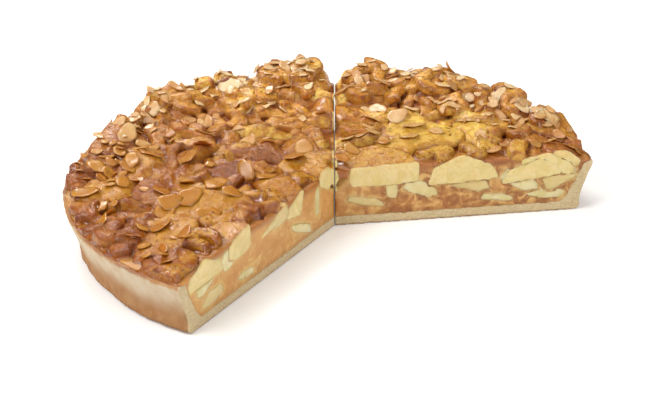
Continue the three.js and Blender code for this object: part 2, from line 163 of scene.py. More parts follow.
class Block:
    """Distances on a dense grid: values, and the place of its first cell."""

    def __init__(self, values, low):
        self.values = values
        self.low = np.asarray(low)

    @classmethod
    def of(cls, grid, pad=3):
        low, high = (np.array(c) for c in grid.evalActiveVoxelBoundingBox())
        low, high = low - pad, high + pad
        values = np.empty(high - low + 1, np.float32)
        grid.copyToArray(values, ijk=tuple(int(c) for c in low))
        return cls(values, low)

    def axes(self):
        """The X, Y and Z of the cells, shaped so that they spread over the block."""
        spread = []
        for n in range(3):
            line = (self.low[n] + np.arange(self.values.shape[n])) * PITCH
            shape = [1, 1, 1]
            shape[n] = -1
            spread.append(line.reshape(shape))
        return spread

    def trim(self, distance):
        np.maximum(self.values, distance, out=self.values)

    def cut_through(self, side, short=0.0):
        """Ends the form at the knife cuts of its portion, or a little short of them."""
        x, y, _ = self.axes()
        for normal, offset, sag in knife[side]:
            past = (x - middle[0]) * normal[0] + (y - middle[1]) * normal[1] - offset - sag
            self.trim(past + short)

    def soften(self, times):
        """Blurs the form a little, which rounds it and takes its facets away."""
        for _ in range(times):
            for axis in range(3):
                v = np.moveaxis(self.values, axis, 0)
                v[1:-1] = (v[:-2] + 2 * v[1:-1] + v[2:]) / 4

    def roughen(self, layers, where=None):
        """Pushes the skin in and out: layers are (bump size, depth, seed) in millimetres."""
        near = np.abs(self.values) < 2.2
        cells = np.argwhere(near)
        points = (cells + self.low) * PITCH
        push = sum(depth * bumps(points, size, seed) for size, depth, seed in layers)
        if where is not None:
            push = push * where(points)
        self.values[near] -= push.astype(np.float32)

    def sample(self, points):
        """The distances at points, blended between the cells."""
        spot = points / PITCH - self.low
        spot = np.clip(spot, 0, np.array(self.values.shape) - 1.001)
        cell = spot.astype(int)
        part = spot - cell
        total = 0.0
        for corner in np.ndindex(2, 2, 2):
            share = np.prod(np.where(corner, part, 1 - part), axis=1)
            at = tuple((cell + corner).T)
            total = total + share * self.values[at]
        return total

    def skin(self, flat=0.0):
        """The closed skin: points in millimetres, triangles and quads, facing out."""
        grid = vdb.FloatGrid(REACH)
        grid.copyFromArray(self.values, ijk=tuple(int(c) for c in self.low))
        grid.transform = vdb.createLinearTransform(PITCH)
        points, triangles, quads = grid.convertToPolygons(0.0, flat)
        return points.astype(float), triangles, quads


def bumps(points, size, seed=0):
    """Smooth unevenness from -1 to 1, with bumps about `size` millimetres apart."""
    spot = points / size + seed * 17.31
    cell = np.floor(spot).astype(np.int64)
    part = spot - cell
    eased = part * part * (3 - 2 * part)
    total = np.zeros(len(points))
    for corner in np.ndindex(2, 2, 2):
        i, j, k = (cell + corner).T
        mixed = (i * 73856093) ^ (j * 19349663) ^ (k * 83492791) ^ (seed * 2654435761)
        mixed = (mixed ^ (mixed >> 13)) * 1274126177 & 0xFFFFFFFF
        mixed = ((mixed ^ (mixed >> 16)) * 2246822519) & 0xFFFFFFFF
        value = (mixed >> 8) / float(1 << 24)
        share = np.prod(np.where(corner, eased, 1 - eased), axis=1)
        total += share * (2 * value - 1)
    return total


def make_piece(name, skin, look, nodes, marks=None, kept=1.0):
    """A finished piece: its mesh in metres and its marks for the material; it hides the imported
    nodes that it stands for.

    Of its triangles the share `kept` is left, fewest where it is flat."""
    points, triangles, quads = skin
    mesh = bpy.data.meshes.new(name)
    mesh.from_pydata((points * MM).tolist(), [], triangles.tolist() + quads.tolist())
    mesh.shade_smooth()
    for mark, values in (marks or {}).items():
        layer = mesh.attributes.new(mark, "FLOAT", "POINT")
        layer.data.foreach_set("value", np.asarray(values, np.float32))
    mesh.materials.append(look.material)
    piece = bpy.data.objects.new(name, mesh)
    bpy.context.scene.collection.objects.link(piece)
    if kept < 1:
        thinner = piece.modifiers.new("thinner", "DECIMATE")
        thinner.ratio = kept
        with bpy.context.temp_override(object=piece, active_object=piece):
            bpy.ops.object.modifier_apply(modifier=thinner.name)
    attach(piece, "root")
    if nodes:
        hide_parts(*nodes)


class Tone:
    """A value, a colour or a place on its way through a material."""

    def __init__(self, look, socket):
        self.look = look
        self.socket = socket

    def _maths(self, operation, *others):
        return self.look.node("Math", {"operation": operation}, *others)

    def __add__(self, other):
        return self._maths("ADD", self, other)

    def __sub__(self, other):
        return self._maths("SUBTRACT", self, other)

    def __rsub__(self, other):
        return self._maths("SUBTRACT", other, self)

    def __mul__(self, other):
        return self._maths("MULTIPLY", self, other)

    __radd__, __rmul__ = __add__, __mul__

    def above(self, start, end):
        """0 up to start, 1 from end, and a soft rise between them."""
        settings = {"interpolation_type": "SMOOTHSTEP"}
        return self.look.node("MapRange", settings, self, start, end, 0.0, 1.0)

    def most(self, other):
        return self._maths("MAXIMUM", self, other)


class Look:
    """A material: a Principled shader whose fixed numbers are given by name."""

    def __init__(self, name, **fixed):
        self.material = bpy.data.materials.new(name)
        self.material.use_nodes = True
        self.tree = self.material.node_tree
        self.shader = self.tree.nodes["Principled BSDF"]
        for socket, value in fixed.items():
            self.shader.inputs[socket.replace("_", " ")].default_value = value

    def node(self, kind, settings, *values, output=0, **named):
        node = self.tree.nodes.new("ShaderNode" + kind)
        for key, value in settings.items():
            setattr(node, key, value)
        by_name = [(node.inputs[key], value) for key, value in named.items()]
        for socket, value in [*zip(node.inputs, values), *by_name]:
            if isinstance(value, Tone):
                self.tree.links.new(value.socket, socket)
            elif value is not None:
                socket.default_value = value
        return Tone(self, node.outputs[output])

    def mark(self, name):
        return self.node("Attribute", {"attribute_name": name}, output="Fac")

    def vector(self, operation, *values, **more):
        return self.node("VectorMath", {"operation": operation}, *values, **more)

    @cached_property
    def place(self):
        """Where the surface lies, in millimetres from the middle of the tart."""
        spot = self.node("TexCoord", {}, output="Object")
        return self.vector("SUBTRACT", self.vector("SCALE", spot, Scale=1 / MM), tuple(middle))

    def along(self, direction):
        return self.vector("DOT_PRODUCT", self.place, tuple(direction), output="Value")

    def noise(self, size, detail=3.0, rough=0.55, wander=0.0, seed=0.0):
        """Cloudy unevenness from 0 to 1, with patches about `size` millimetres apart."""
        moved = self.vector("ADD", self.place, (seed, seed, seed))
        return self.node(
            "TexNoise", {}, moved,
            Scale=1 / size, Detail=detail, Roughness=rough, Distortion=wander,
        )

    def cells(self, size, seed):
        """How far the surface is from the nearest of many points `size` millimetres apart."""
        moved = self.vector("ADD", self.place, (seed, seed, seed))
        return self.node("TexVoronoi", {}, moved, Scale=1 / size, output="Distance")

    def blend(self, share, low, high):
        """A colour from low to high, each a tone, linear numbers or a colour as seen."""
        node = self.tree.nodes.new("ShaderNodeMix")
        node.data_type = "RGBA"
        sockets = [node.inputs[0], node.inputs[6], node.inputs[7]]
        for socket, value in zip(sockets, (share, low, high)):
            if isinstance(value, str):
                value = shade(value)
            if isinstance(value, Tone):
                self.tree.links.new(value.socket, socket)
            else:
                socket.default_value = (*value, 1.0) if isinstance(value, tuple) else value
        return Tone(self, node.outputs[2])

    def layers(self, colour, *coats):
        """Colours laid one over another: each how much of it shows, and the colour."""
        for share, over in coats:
            colour = self.blend(share, colour, over)
        return colour

    def painted_sheen_across_the_tart(self, colour, sheen_at_back=(1.48, 1.92, 2.3)):
        """The topping's colour with a painted sheen: lighter, pale gold at the back, where light
        grazes it, and amber in front.
        """
        front = self.along((0, 1, 0)).above(100.0, -15.0)
        return self.vector("MULTIPLY", colour, self.blend(front, sheen_at_back, (0.78, 0.62, 0.2)))

    def feed(self, socket, tone):
        self.tree.links.new(tone.socket, self.shader.inputs[socket])

    def bump(self, height, strength, depth_mm):
        normal = self.node(
            "Bump", {}, Strength=strength, Distance=depth_mm * MM, Height=height,
        )
        self.feed("Normal", normal)


def shade(hex_colour):
    """A colour as seen, such as "c89a5e", as the linear numbers that a material takes."""
    parts = [int(hex_colour[n:n + 2], 16) / 255 for n in (0, 2, 4)]
    return tuple(p / 12.92 if p <= 0.04045 else ((p + 0.055) / 1.055) ** 2.4 for p in parts)


def crust_look():
    look = Look(
        "baked_shortcrust", Roughness=0.8,
        Subsurface_Weight=0.12, Subsurface_Scale=0.003, Subsurface_Radius=(1.0, 0.6, 0.35),
    )
    height = look.along((0, 0, 1))
    flat = look.vector("MULTIPLY", look.place, (1.0, 1.0, 0.0))
    outwards = look.vector("LENGTH", flat, output="Value")
    broad = look.noise(26.0, 2.0, seed=3.0)
    patches = look.noise(7.0, 4.0, seed=9.0)
    grain = look.noise(1.3, 4.0, 0.7)
    fine = look.noise(0.5, 2.0, 0.6, seed=40.0)

    # The wall outside: pale and floury under the rim, golden lower down, dark at its foot.
    pale = look.blend(patches.above(0.35, 0.7), "cbb99e", "bfa683")
    golden = look.blend(patches.above(0.3, 0.7), "b08455", "a06c3e")
    lower_down = (height + 16.0 * (broad - 0.5) + 8.0 * (patches - 0.5)).above(22.0, 6.0)
    freckles = look.noise(2.2, 3.0, 0.7, seed=70.0).above(0.6, 0.72)
    foot = (height + 3.0 * (patches - 0.5)).above(3.6, 0.6)

    # The rim, where glaze ran over it and it browned.
    rim = (height + 4.0 * (patches - 0.5)).above(25.4, 27.2) * outwards.above(131.0, 134.0)
    browned = look.blend(broad.above(0.35, 0.65), "b47a34", "94551f")
    wall = look.layers(
        pale, (lower_down, golden), (0.45 * freckles, "a06a38"), (0.85 * foot, "7c4f2a"),
        (0.9 * rim, browned),
    )

    # The crumb at the knife cuts, with a baked edge all round it.
    open_cut = None
    for side in knife:
        for normal, offset, _ in knife[side]:
            past = look.along(normal) - offset
            seen = past.above(-0.9, -0.35) * past.above(0.9, 0.45)
            open_cut = seen if open_cut is None else open_cut.most(seen)
    pores = look.cells(1.7, seed=5.0).above(0.32, 0.14) * patches.above(0.4, 0.6)
    baked_under = (height + 1.6 * (patches - 0.5)).above(1.5, 0.2)
    baked_out = (outwards - 0.32 * height + 2.0 * (patches - 0.5)).above(131.6, 133.4)
    crumb = look.layers(
        look.blend(grain.above(0.3, 0.7), "cfbc97", "b9a176"),
        (0.5 * broad.above(0.4, 0.7), "ccb080"), (0.45 * pores, "b0895a"),
        (0.8 * baked_under, "8a5c33"), (0.35 * baked_out, "c39a63"),
    )

    # The underside is an even baked brown.
    under = height.above(0.25, 0.05) * (1.0 - open_cut)
    underside = look.blend(patches, "b3834e", "9a6a3a")
    look.feed("Base Color", look.layers(wall, (open_cut, crumb), (under, underside)))
    look.feed("Roughness", 0.85 - 0.35 * rim)
    look.feed("Coat Weight", 0.45 * rim)
    look.bump(grain + 0.6 * fine + 0.5 * patches - 0.8 * open_cut * pores, 0.8, 0.5)
    return look


crust_paint = crust_look()
case_blocks = {}
for side in knife:
    points, triangles = cad_mesh(f"crust_{side}")
    block = Block.of(level_set(run_on(points, side), triangles))
    block.soften(2)
    block.roughen(
        [(9.0, 0.28, 1), (3.6, 0.2, 2), (1.7, 0.16, 3)],
        lambda p: np.clip((p[:, 2] - 0.4) / 2.0, 0, 1),
    )
    x, y, z = block.axes()
    block.trim(0.0 - z)
    block.cut_through(side)
    block.roughen([(2.4, 0.12, 4), (1.5, 0.1, 5)], lambda p: np.clip((p[:, 2] - 0.5) / 2.0, 0, 1))
    block.trim(0.0 - z)
    case_blocks[side] = block
    make_piece(f"shortcrust_{side}", block.skin(0.25), crust_paint, [f"crust_{side}"])

# ----------------------------------------
# The filling: set custard and apple pulp, tan and moist, poured over the apple and baked. It
# shows at the two open cuts, and small bits of apple stick out of it between the wedges.

CUSTARD_LEVEL = 27.6
CUSTARD_SWELL = 31.0
SWELL_WIDTH = 26.0
EDGE_WIDTH = 12.0
WALL = 5.5
CASE_BASE = 5.5
WALL_MIDDLE = 126.2   # half way through the wall, were it to reach the table
WALL_LEAN = 0.4
WALL_FACING = 0.93    # how far through the leaning wall a step straight outwards gets
BIT_ROOT = 1.2        # how deep the small bits of apple reach into the custard
PRESSED = 1.2         # how far the custard closes on the apple in it
PRESSED_TO_CASE = 0.5
CUSTARD_THINNEST = 0.85
COVERED = 0.9         # how far the custard rose over the apple in it


def to_open_cut(x, y):
    """How far a place is from the nearer of the two open cuts."""
    x, y = x - middle[0], y - middle[1]
    nearest = np.inf
    for turn in (CUT_RIGHT, CUT_LEFT):
        along = x * math.cos(turn) + y * math.sin(turn)
        across = np.abs(y * math.cos(turn) - x * math.sin(turn))
        nearest = np.minimum(nearest, np.where(along > 0, across, np.hypot(along, across)))
    return nearest


def ease(t):
    t = np.clip(t, 0, 1)
    return t * t * (3 - 2 * t)


def custard_height(x, y):
    """How high the custard stands: level, and swollen behind the two open cuts."""
    swell = ease((SWELL_WIDTH - to_open_cut(x, y)) / (SWELL_WIDTH / 2))
    edge = np.clip((RIM_RADIUS - WALL - radius_at(x, y)) / EDGE_WIDTH, 0, 1)
    return CUSTARD_LEVEL + (CUSTARD_SWELL - CUSTARD_LEVEL) * swell * edge


def custard_look():
    look = Look(
        "set_custard", Coat_Roughness=0.25, Specular_IOR_Level=0.5,
        Subsurface_Weight=0.5, Subsurface_Scale=0.006, Subsurface_Radius=(1.0, 0.55, 0.25),
    )
    height = look.along((0, 0, 1))
    broad = look.noise(16.0, 3.0, 0.55, 0.8)
    smears = look.noise(6.5, 4.0, 0.55, 1.2, seed=12.0)
    grain = look.noise(1.4, 4.0, 0.65, seed=30.0)
    near = (look.mark("near") + 0.5 * (smears - 0.5)).above(0.1, 0.9)
    low = (height + 3.0 * (smears - 0.5)).above(9.0, 6.5)
    top = (height + 4.0 * (smears - 0.5)).above(27.5, 30.5)
    # The custard towards the right gets painted shade, where that cut lies in shade, in patches
    # broken up by the smears.
    right = look.along((1, 0, 0)).above(-10.0, 30.0)
    specks = look.cells(6.0, seed=2.0).above(0.09, 0.04)
    look.feed("Base Color", look.layers(
        look.blend(broad.above(0.35, 0.65), "c9924c", "ba7f38"),
        (smears.above(0.52, 0.68), "d0a562"), (0.55 * smears.above(0.44, 0.3), "ae722c"),
        (0.6 * near, "d4ac66"), (0.4 * low, "ad7432"), (0.75 * top, "9c5c1e"),
        # Painted shade on the custard towards the right, in patches.
        (0.8 * right * smears.above(0.64, 0.36), "84440a"), (0.6 * specks, "7d4a20"),
    ))
    look.feed("Roughness", 0.32 + 0.3 * grain)
    look.feed("Coat Weight", 0.08 + 0.1 * top)
    look.bump(grain + 1.2 * smears, 0.55, 0.35)
    return look


def moved_skin(grid, by):
    """The same solid with its skin moved outwards."""
    points, quads = grid.convertToQuads(by)
    return level_set(points, quads) if len(quads) else grid


def opened(grid, by):
    """The same solid without what is thinner than twice the distance, its edges rounded."""
    return moved_skin(moved_skin(grid, -by), by)


def window(total, block):
    """The part of a large block that a smaller one covers, and that part of the small one."""
    start = np.maximum(block.low, total.low)
    stop = np.minimum(block.low + block.values.shape, total.low + total.values.shape)
    large = tuple(slice(a, max(a, b)) for a, b in zip(start - total.low, stop - total.low))
    small = tuple(slice(a, max(a, b)) for a, b in zip(start - block.low, stop - block.low))
    return large, small


def make_way(block, other, overlap):
    """Takes from a block what another one fills, but for a thin overlap at its skin."""
    large, small = window(block, other)
    np.maximum(block.values[large], -overlap - other.values[small], out=block.values[large])


def names(start):
    return sorted(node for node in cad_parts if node.startswith(start))


custard_paint = custard_look()
filling_blocks = {}
bit_blocks = {}
for side in knife:
    points, triangles = cad_mesh(f"custard_{side}")
    block = Block.of(opened(level_set(run_on(points, side), triangles), CUSTARD_THINNEST))
    x, y, z = block.axes()
    surface = custard_height(x, y) + COVERED
    bits = np.maximum(block.values, surface - BIT_ROOT - z)
    bit_blocks[side] = Block(bits.astype(np.float32), block.low)
    # It fills the case to its surface and closes on the apple in it, so that no gap shows.
    from_middle = radius_at(x, y)
    into_wall = (from_middle - WALL_MIDDLE - WALL_LEAN * z) * WALL_FACING
    block.values = np.maximum(z - surface, into_wall).astype(np.float32)
    block.trim(CASE_BASE / 2 - z)
    neighbours = []
    for node in names("sunk_apple") + names("apple_wedge"):
        points, triangles = cad_mesh(node)
        if side_of(node) == side and points[:, 2].min() < CUSTARD_LEVEL:
            neighbours.append(Block.of(level_set(run_on(points, side), triangles)))
    for other in neighbours:
        make_way(block, other, PRESSED)
    points, triangles = cad_mesh(f"crust_{side}")
    make_way(block, Block.of(level_set(run_on(points, side), triangles)), PRESSED_TO_CASE)
    block.roughen([(5.0, 0.35, 6), (2.2, 0.18, 7)])
    block.cut_through(side, 0.1)
    block.roughen([(3.5, 0.12, 8)])
    filling_blocks[side] = block
    skin = block.skin(0.1)
    nearest = np.min([other.sample(skin[0]) for other in neighbours], axis=0)
    make_piece(f"custard_filling_{side}", skin, custard_paint, [f"custard_{side}"],
               {"near": np.clip(1 - nearest / 2.4, 0, 1)})

# ----------------------------------------
# The apple sunk in the custard: stewed pieces of peeled apple that the knife went through,
# pale yellow and moist, each a little proud of the custard or a little behind it.


def flesh_look():
    look = Look(
        "stewed_apple", Coat_Roughness=0.15, Roughness=0.35,
        Subsurface_Weight=0.6, Subsurface_Scale=0.008, Subsurface_Radius=(1.0, 0.75, 0.3),
    )
    broad = look.noise(11.0, 3.0, 0.5, 0.6, seed=4.0)
    mottle = look.noise(4.5, 3.0, 0.6, 0.8, seed=6.0)
    fibres = look.noise(2.3, 4.0, 0.6, 0.4, seed=8.0)
    rim, tone = look.mark("rim"), look.mark("tone")
    look.feed("Base Color", look.layers(
        look.blend(broad.above(0.35, 0.65), "dcc992", "d0b876"),
        (0.6 * (tone + 0.6 * (mottle - 0.5)).above(0.45, 1.0), "c9a860"),
        (0.4 * fibres.above(0.55, 0.75), "c2a55c"),
        (0.75 * (rim + 0.7 * (mottle - 0.5)).above(0.25, 1.05), "cca05c"),
    ))
    look.feed("Coat Weight", 0.35 + 0.4 * fibres)
    look.bump(fibres + broad, 0.4, 0.3)
    return look


flesh_paint = flesh_look()
sunk_blocks = []
for number, node in enumerate(names("sunk_apple"), 1):
    side = side_of(node)
    points, triangles = cad_mesh(node)
    block = Block.of(level_set(run_on(points, side), triangles))
    block.roughen([(7.0, 0.35, 20 + number), (2.6, 0.14, 40 + number)])
    inner = Block(block.values.copy(), block.low)
    proud = 0.12 * math.sin(number * 2.4)
    block.cut_through(side, -proud)
    skin = block.skin(0.1)
    sunk_blocks.append(block)
    marks = {
        "rim": ease((inner.sample(skin[0]) + 1.6) / 1.6),
        "tone": np.full(len(skin[0]), 0.5 + 0.5 * math.sin(number * 4.1)),
    }
    make_piece(f"stewed_apple_{number:02d}", skin, flesh_paint, [node], marks)

# ----------------------------------------
# The wedges on top: peeled and cored apple, baked until its edges browned and then glazed.
# The middle ones are golden, those towards the rim are brown, and a knife cut shows them pale.

THINNEST = 0.68     # half the thickness under which a form comes off here, as a fused flake does
PLUMP = 0.4         # how far baking swelled the apple
SPREAD = np.array([1.07, 1.07, 1.02])   # how much the glazed, swollen wedges fill out their gaps
SQUASH = 0.12       # how far neighbours press into each other

cells_low = np.floor((np.array(cad_low) / MM - 8) / PITCH).astype(int)
cells_high = np.ceil((np.array(cad_high) / MM + 8) / PITCH).astype(int)


def join(total, block):
    large, small = window(total, block)
    np.minimum(total.values[large], block.values[small], out=total.values[large])


def joined(blocks):
    """A block as large as the whole tart, with all that the given ones fill."""
    total = Block(np.full(cells_high - cells_low + 1, REACH, np.float32), cells_low)
    for block in blocks:
        join(total, block)
    return total


def fullness(block, radius):
    """How much of the space round each cell is full, from 0 to 1: half on a flat surface."""
    full = np.clip(0.5 - block.values / PITCH, 0, 1)
    width = max(1, int(round(radius / PITCH / 1.6)))
    for _ in range(2):
        for axis in range(3):
            v = np.moveaxis(full, axis, 0)
            ends = np.repeat(v[:1], width + 1, 0), np.repeat(v[-1:], width, 0)
            padded = np.concatenate([ends[0], v, ends[1]])
            summed = np.cumsum(padded, axis=0, dtype=np.float32)
            v = (summed[2 * width + 1:] - summed[:-2 * width - 1]) / (2 * width + 1)
            full = np.moveaxis(v, 0, axis)
    return Block(np.ascontiguousarray(full), block.low)


# Where the oven browned the top most, and where it stayed pale: x, y, width, strength.
browned_spots = [
    (-100, 62, 46, 0.35), (-30, 112, 50, 0.3), (50, 112, 44, 0.35), (106, 74, 34, 0.4),
    (-126, 6, 30, 0.45), (-44, -44, 9, 0.7), (-34, -57, 8, 0.9), (-50, -20, 7, 0.6),
    (14, 40, 14, 0.3), (-96, -86, 26, 0.25), (124, 34, 22, 0.4), (-20, 60, 26, 0.15),
]
pale_spots = [
    (-36, -36, 26, 0.5), (-8, -8, 28, 0.5), (40, 8, 32, 0.6), (86, 18, 26, 0.4),
    (-58, -72, 22, 0.35), (-68, -16, 20, 0.25), (66, 56, 26, 0.3), (-84, -116, 14, 0.3),
]


def spread_of(spots, x, y, share=1.0):
    """What spots, each an x, y, width and strength, come to at a place: they fade outwards."""
    x, y = x - middle[0], y - middle[1]
    return sum(
        strength * np.exp(-((x - a) ** 2 + (y - b) ** 2) / (2 * (share * wide) ** 2))
        for a, b, wide, strength in spots
    )


def browning(points):
    x, y, _ = points.T
    return 0.3 + spread_of(browned_spots, x, y, 0.6) - spread_of(pale_spots, x, y, 0.6)


def apple_look():
    look = Look(
        "baked_apple", Coat_Roughness=0.15, Specular_IOR_Level=0.5,
        Subsurface_Weight=0.35, Subsurface_Scale=0.004, Subsurface_Radius=(1.0, 0.5, 0.12),
    )
    broad = look.noise(14.0, 3.0, 0.55, 0.5, seed=5.0)
    mottle = look.noise(5.0, 4.0, 0.6, 0.8, seed=14.0)
    fibres = look.noise(1.8, 4.0, 0.65, 0.5, seed=25.0)
    grain = look.noise(0.9, 2.0, 0.5, seed=44.0)
    drift = look.noise(6.0, 4.0, 0.6, 1.6, seed=33.0) - 0.5
    creases = (drift * drift).above(0.0035, 0.0002)
    marks = "bake", "ridge", "deep", "knifed", "tone", "burnt"
    bake, ridge, deep, knifed, tone, burnt = map(look.mark, marks)

    heat = bake + 0.6 * (broad - 0.5) + 0.6 * (mottle - 0.5) + 0.3 * tone
    flesh = look.blend(mottle.above(0.35, 0.65), "d6a84e", "c48c30")
    golden = look.blend(broad.above(0.35, 0.65), "b97524", "a4611a")
    brown = look.blend(mottle.above(0.35, 0.65), "aa6426", "8c4a18")
    edges = (ridge + 0.7 * (mottle - 0.5)).above(0.15, 0.65)
    edged = look.blend(broad.above(0.4, 0.6), "a35417", "7c3a0e")
    scorched = (burnt + 0.5 * (fibres - 0.5) + 0.4 * (ridge - 0.3)).above(0.35, 0.75)
    # Darker where the apple is shut in deep between neighbours: partly glaze that pools there,
    # partly painted shade in the recesses.
    pooled_glaze_and_shade = (deep + 0.35 * (mottle - 0.5)).above(0.1, 0.7)
    glaze_and_shade_colour = look.blend(heat.above(0.1, 0.8), "9a5214", "763210")
    colour = look.layers(
        flesh, (heat.above(-0.05, 0.45), golden), (heat.above(0.55, 1.15), brown),
        (0.85 * edges * heat.above(-0.4, 0.25), edged),
        (0.45 * creases * heat.above(0.0, 0.6), "7a3c12"),
        (0.35 * fibres.above(0.56, 0.7), "e4b268"), (0.3 * fibres.above(0.44, 0.3), "84460f"),
        (0.85 * scorched, "5c180c"), (0.8 * pooled_glaze_and_shade, glaze_and_shade_colour),
    )
    cut = look.blend(mottle.above(0.35, 0.7), "e2cb90", "d8bc74")
    # The wedges' colour gets a painted sheen: paler at the back, where light grazes the topping.
    look.feed("Base Color", look.blend(knifed, look.painted_sheen_across_the_tart(colour), cut))
    look.feed("Roughness", 0.12 + 0.2 * fibres + 0.2 * mottle.above(0.6, 0.4) + 0.15 * knifed)
    look.feed("Coat Weight", 0.06 * mottle)
    look.bump(0.7 * fibres + 1.4 * mottle + 0.25 * grain - 0.35 * creases, 0.8, 0.6)
    return look


apple_paint = apple_look()
wedge_names = names("apple_wedge")
wedge_blocks = {}
for node in wedge_names:
    side = side_of(node)
    points, triangles = cad_mesh(node)
    centre = (points.min(axis=0) + points.max(axis=0)) / 2
    points = centre + (run_on(points, side) - centre) * SPREAD
    block = Block.of(opened(level_set(points, triangles), THINNEST))
    block.soften(1)
    block.values -= PLUMP
    wedge_blocks[node] = block


def piled_up(points):
    """1 on the rim at the back, where small pieces lie piled up, and 0 elsewhere."""
    x, y, _ = points.T
    out = radius_at(x, y)
    return ease((out - 84) / 20) * ease(((y - middle[1]) / np.maximum(out, 1) - 0.3) / 0.3)


# Neighbours press against each other: each ends halfway to the next.
apple_skins = {}
for number, node in enumerate(wedge_names, 1):
    side = side_of(node)
    own = wedge_blocks[node]
    block = Block(own.values.copy(), own.low)
    for rival, other in wedge_blocks.items():
        if rival != node:
            large, small = window(block, other)
            halfway = (own.values[large] - other.values[small]) / 2 - SQUASH
            np.maximum(block.values[large], halfway, out=block.values[large])
    make_way(block, case_blocks[side], 0.1)
    block.roughen([(11.0, 0.3, 50 + number), (4.5, 0.14, 90 + number), (2.1, 0.14, 130 + number)])
    block.roughen([(15.0, 1.7, 170 + number), (7.0, 0.9, 210 + number)], piled_up)
    block.cut_through(side, -0.05)
    apple_skins[node] = (block, block.skin())

# Small bits of apple that fell between the wedges: chopped ends, half sunk in the glaze.
apples_only = joined(block for block, _ in apple_skins.values())

BIT_ROUNDING = 1.5
BIT_BEND = 0.06


def chopped_bit(centre, sizes, axes):
    """A rounded, bent piece of apple round a centre, as distances in the cells near it."""
    reach = int(np.linalg.norm(sizes) / PITCH) + 3
    low = np.floor(centre / PITCH).astype(int) - reach
    cells = np.stack(np.meshgrid(*[np.arange(2 * reach)] * 3, indexing="ij"), axis=-1)
    spot = ((cells + low) * PITCH - centre) @ axes.T
    spot[..., 1] += BIT_BEND * spot[..., 0] ** 2
    over = np.abs(spot) - (sizes - BIT_ROUNDING)
    outer = np.linalg.norm(np.maximum(over, 0), axis=-1)
    values = outer + np.minimum(over.max(axis=-1), 0) - BIT_ROUNDING
    return Block(values.astype(np.float32), low)


bit_blocks = {side: joined([block]) for side, block in bit_blocks.items()}
APPLE_TOP = 46.0   # higher than any apple: what a column without apple shows
apple_tops = (cells_high[2] - np.argmax(apples_only.values[:, :, ::-1] < 0, axis=2)) * PITCH


def top_of_apple(spot):
    column = np.round(spot[:2] / PITCH).astype(int) - cells_low[:2]
    return float(apple_tops[tuple(column)])


TRIES = 6000
BITS_STREWN = 134.0
BIT_SIZES = [(5.0, 8.5), (3.2, 5.0), (2.2, 3.6)]   # half of their length, width and thickness
BITS_REACH = 137.5
APART = 7.0
FROM_CUT = 6.0
PILED_FROM_CUT = 11.0   # high bits keep further from the knife, which would shear them
random = np.random.default_rng(12)
bit_spots = []
for _ in range(TRIES):
    turn = random.uniform(CUT_RIGHT, CUT_LEFT)
    out = BITS_STREWN * math.sqrt(random.uniform(0.002, 1))
    spot = spot_at(turn, out)
    ground = float(custard_height(spot[0], spot[1]))
    spot[2] = ground + 1.5
    side = portion(spot[0])
    room = float(apples_only.sample(spot[None])[0])
    if room < 1.2 or float(bit_blocks[side].sample(spot[None])[0]) < 1.2:
        wanted = 0.5 * float(piled_up(spot[None])[0])
        if random.uniform() > wanted or top_of_apple(spot) > APPLE_TOP:
            continue
        if inside(spot, side) < PILED_FROM_CUT:
            continue
        ground = top_of_apple(spot) - 1.6
    if inside(spot, side) < FROM_CUT:
        continue
    if any(np.linalg.norm((spot - other)[:2]) < APART for other in bit_spots):
        continue
    tilt = np.array([random.uniform(-0.35, 0.35), random.uniform(-0.35, 0.35), 1.0])
    tilt /= np.linalg.norm(tilt)
    along = np.cross(tilt, random.standard_normal(3))
    along /= np.linalg.norm(along)
    axes = np.stack([along, np.cross(tilt, along), tilt])
    sizes = np.array([random.uniform(*BIT_SIZES[n]) for n in range(3)])
    spot[2] = ground + random.uniform(0.6, 3.0)
    join(bit_blocks[side], chopped_bit(spot, sizes, axes))
    bit_spots.append(spot)
bit_skins = {}
for side, bits in bit_blocks.items():
    bits.soften(2)
    bits.values -= 0.3
    bits.roughen([(5.0, 0.25, 11), (2.4, 0.16, 12)])
    x, y, z = bits.axes()
    bits.trim(custard_height(x, y) - 2.5 - z)
    bits.trim(radius_at(x, y) - BITS_REACH)
    bits.cut_through(side, 0.12)
    bit_skins[side] = (bits, bits.skin(0.12))

# ----------------------------------------
# The glaze: warm fruit jelly and caramel that ran down between the wedges, climbed a little
# up their sides and set there, thin over the custard at the cuts and over part of the rim.

GLAZE_DEPTH = 1.0
CLIMB = 1.4   # how softly it runs up the sides of the apple
# Where it gathered deepest between the apple, beside the closed cut: x, y, width, rise.
pools = [(-6, 90, 5.0, 8.0), (-4, 70, 5.0, 4.0), (6, 84, 5.0, 4.0), (-4, 108, 4.0, 4.0)]

apples = joined([apples_only, *bit_blocks.values()])
whole = joined([apples, *case_blocks.values(), *filling_blocks.values(), *sunk_blocks])
x, y, z = whole.axes()
from_middle = radius_at(x, y)
flat_points = np.stack(np.broadcast_arrays(x, y, 0 * x), axis=-1).reshape(-1, 3)
waves = bumps(flat_points, 13.0, 201).reshape(from_middle.shape)
ripples = bumps(flat_points, 5.0, 202).reshape(from_middle.shape)
depth = GLAZE_DEPTH * ease(to_open_cut(x, y) / 16 + 0.15) + 0.5 * waves + 0.25 * ripples
at_rim = ease((from_middle - 124) / 11)
over_rim = RIM_HEIGHT + 0.35 + 0.4 * waves
glaze_top = (custard_height(x, y) + depth) * (1 - at_rim) + over_rim * at_rim
glaze_top = glaze_top + spread_of(pools, x, y)
glaze_edge = 138.0 + 1.6 * waves + 1.2 * ripples
slab = np.maximum(z - glaze_top, (from_middle - glaze_edge) * 0.9)
share = np.clip(0.5 + 0.5 * (slab - apples.values) / CLIMB, 0, 1)
poured = slab * (1 - share) + apples.values * share - CLIMB * share * (1 - share)
poured = np.maximum(poured, -0.5 - apples.values)
poured = np.maximum(poured, (RIM_HEIGHT - 1.6) - z)


